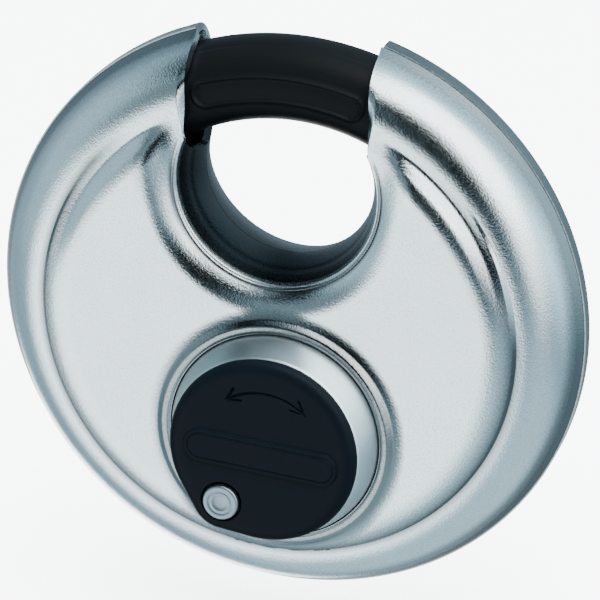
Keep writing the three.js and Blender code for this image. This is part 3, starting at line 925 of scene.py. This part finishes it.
# Soft patches of the surroundings, later ones over earlier ones. Each has its azimuth and elevation,
# the radius that it fills and the one where it ends (all in degrees), its color and its strength.
ROOM = (0.40, 0.57, 0.68)
WHITE = (1.0, 1.0, 1.0)
PALE = (0.93, 0.98, 1.0)
COOL = (0.66, 0.9, 1.0)
PATCHES = [
    (100, 38, 30, 68, COOL, 2.4),
    (-75, 8, 18, 36, COOL, 0.95),
    (160, -45, 12, 36, COOL, 0.42),
    (40, -65, 30, 50, COOL, 1.15),
    (50, 45, 22, 36, WHITE, 6.0),
    (50, 12, 18, 32, WHITE, 2.8),
    (54, 36, 22, 32, WHITE, 6.0),
    (-30, -28, 13, 38, PALE, 3.4),
    (-142, -42, 8, 17, WHITE, 6.0),
    (-95, 68, 14, 26, COOL, 0.03),
    (-30, 12, 14, 26, COOL, 0.35),
    (-62, 50, 8, 20, COOL, 0.02),
    (-48, 38, 7, 13, COOL, 0.0),
    (-33, 39, 8, 14, COOL, 0.0),
    (-18, 40, 7, 13, COOL, 0.0),
    (4, -3, 8, 22, COOL, 0.12),
    (-4, -7, 7, 11, COOL, 0.0),
    (0, -2, 7, 12, COOL, 0.0),
    (6, 6, 9, 14, COOL, 0.0),
    (15, 12, 14, 19, COOL, 0.0),
    (18, 26, 12, 17, COOL, 0.0),
    (4, 28, 8, 14, COOL, 0.0),
    (24, 5, 6, 11, COOL, 0.0),
]


def add_surroundings():
    """A soft studio: a cool grey room with pale and dark patches for the metal to reflect."""
    world = bpy.data.worlds.new("studio")
    bpy.context.scene.world = world
    world.use_nodes = True
    n = Nodes(world.node_tree)
    direction = n.add("ShaderNodeTexCoord").outputs["Generated"]
    color = ROOM + (1,)
    for azimuth, elevation, full, end, tint, strength in PATCHES:
        towards = {0: direction, 1: bearing(azimuth, elevation)}
        facing = n.add("ShaderNodeVectorMath", towards, operation="DOT_PRODUCT")
        share = n.add("ShaderNodeMapRange", {
            "Value": facing.outputs["Value"],
            "From Min": math.cos(math.radians(end)),
            "From Max": math.cos(math.radians(full)),
        }, interpolation_type="SMOOTHSTEP").outputs["Result"]
        color = n.mix(share, color, tuple(c * strength for c in tint) + (1.0,))
    background = n.add("ShaderNodeBackground", {"Color": color, "Strength": 1.0})
    n.add("ShaderNodeOutputWorld", {"Surface": background.outputs["Background"]})


def add_floor():
    """A large pale floor. Only its own brightness shows: the metal mirrors the room instead."""
    size = 4.0
    mesh = bpy.data.meshes.new("floor")
    corners = [(-size, -size, FLOOR_Z), (size, -size, FLOOR_Z), (size, size, FLOOR_Z), (-size, size, FLOOR_Z)]
    mesh.from_pydata(corners, [], [(0, 1, 2, 3)])
    floor = bpy.data.objects.new("floor", mesh)
    bpy.context.scene.collection.objects.link(floor)
    material = bpy.data.materials.new("pale_floor")
    material.use_nodes = True
    n = Nodes(material.node_tree)
    shader = n.add("ShaderNodeBsdfPrincipled", {
        "Base Color": (0.86, 0.87, 0.88, 1), "Roughness": 0.9,
        "Emission Color": (0.97, 0.98, 1.0, 1), "Emission Strength": 5.0,
    })
    n.add("ShaderNodeOutputMaterial", {"Surface": shader.outputs["BSDF"]})
    mesh.materials.append(material)
    floor.visible_glossy = False
    floor.visible_diffuse = False


def add_lamp(name, azimuth, elevation, distance, size, power):
    """A round area lamp that faces the disc's centre and isn't mirrored in the metal."""
    data = bpy.data.lights.new(name, "AREA")
    data.shape, data.size, data.energy = "DISK", size, power
    lamp = bpy.data.objects.new(name, data)
    towards = Vector(bearing(azimuth, elevation))
    lamp.location = Vector((0, 0, DISC_Z)) + towards * distance
    lamp.rotation_mode = "QUATERNION"
    lamp.rotation_quaternion = towards.to_track_quat("Z", "Y")
    lamp.visible_glossy = False
    bpy.context.scene.collection.objects.link(lamp)


# ---- camera ----
def add_camera():
    """Long lens, from the right and above, with a slight roll."""
    azimuth, elevation, roll = 17.49, 23.18, math.radians(-1.01)
    distance, shift_right, shift_up = 1173.1, 0.70, 0.35
    lens, sensor = 609.4, 36
    back = Vector(bearing(azimuth, elevation))
    right = Vector((0, 0, 1)).cross(back).normalized()
    up = back.cross(right)
    rolled_right = math.cos(roll) * right + math.sin(roll) * up
    rolled_up = math.cos(roll) * up - math.sin(roll) * right
    data = bpy.data.cameras.new("camera")
    data.lens, data.sensor_width = lens, sensor
    data.clip_start, data.clip_end = 0.05, 20
    camera = bpy.data.objects.new("camera", data)
    turn = Matrix((rolled_right, rolled_up, back)).transposed().to_4x4()
    offset = distance * back + shift_right * rolled_right + shift_up * rolled_up
    place = Vector((0, 0, DISC_Z)) + MM * offset
    camera.matrix_world = Matrix.Translation(place) @ turn
    bpy.context.scene.collection.objects.link(camera)
    bpy.context.scene.camera = camera


add_camera()
shell("front_pressing", "front_shell", FRONT_PRESSING)
shell("rear_pressing", "rear_shell", REAR_PRESSING)
shackle_bar()
shackle_fork()
guard()
cover()
rivet()
dress(make_finishes())
add_surroundings()
add_floor()
add_lamp("overhead", 20, 75, 1.2, 1.4, 60)
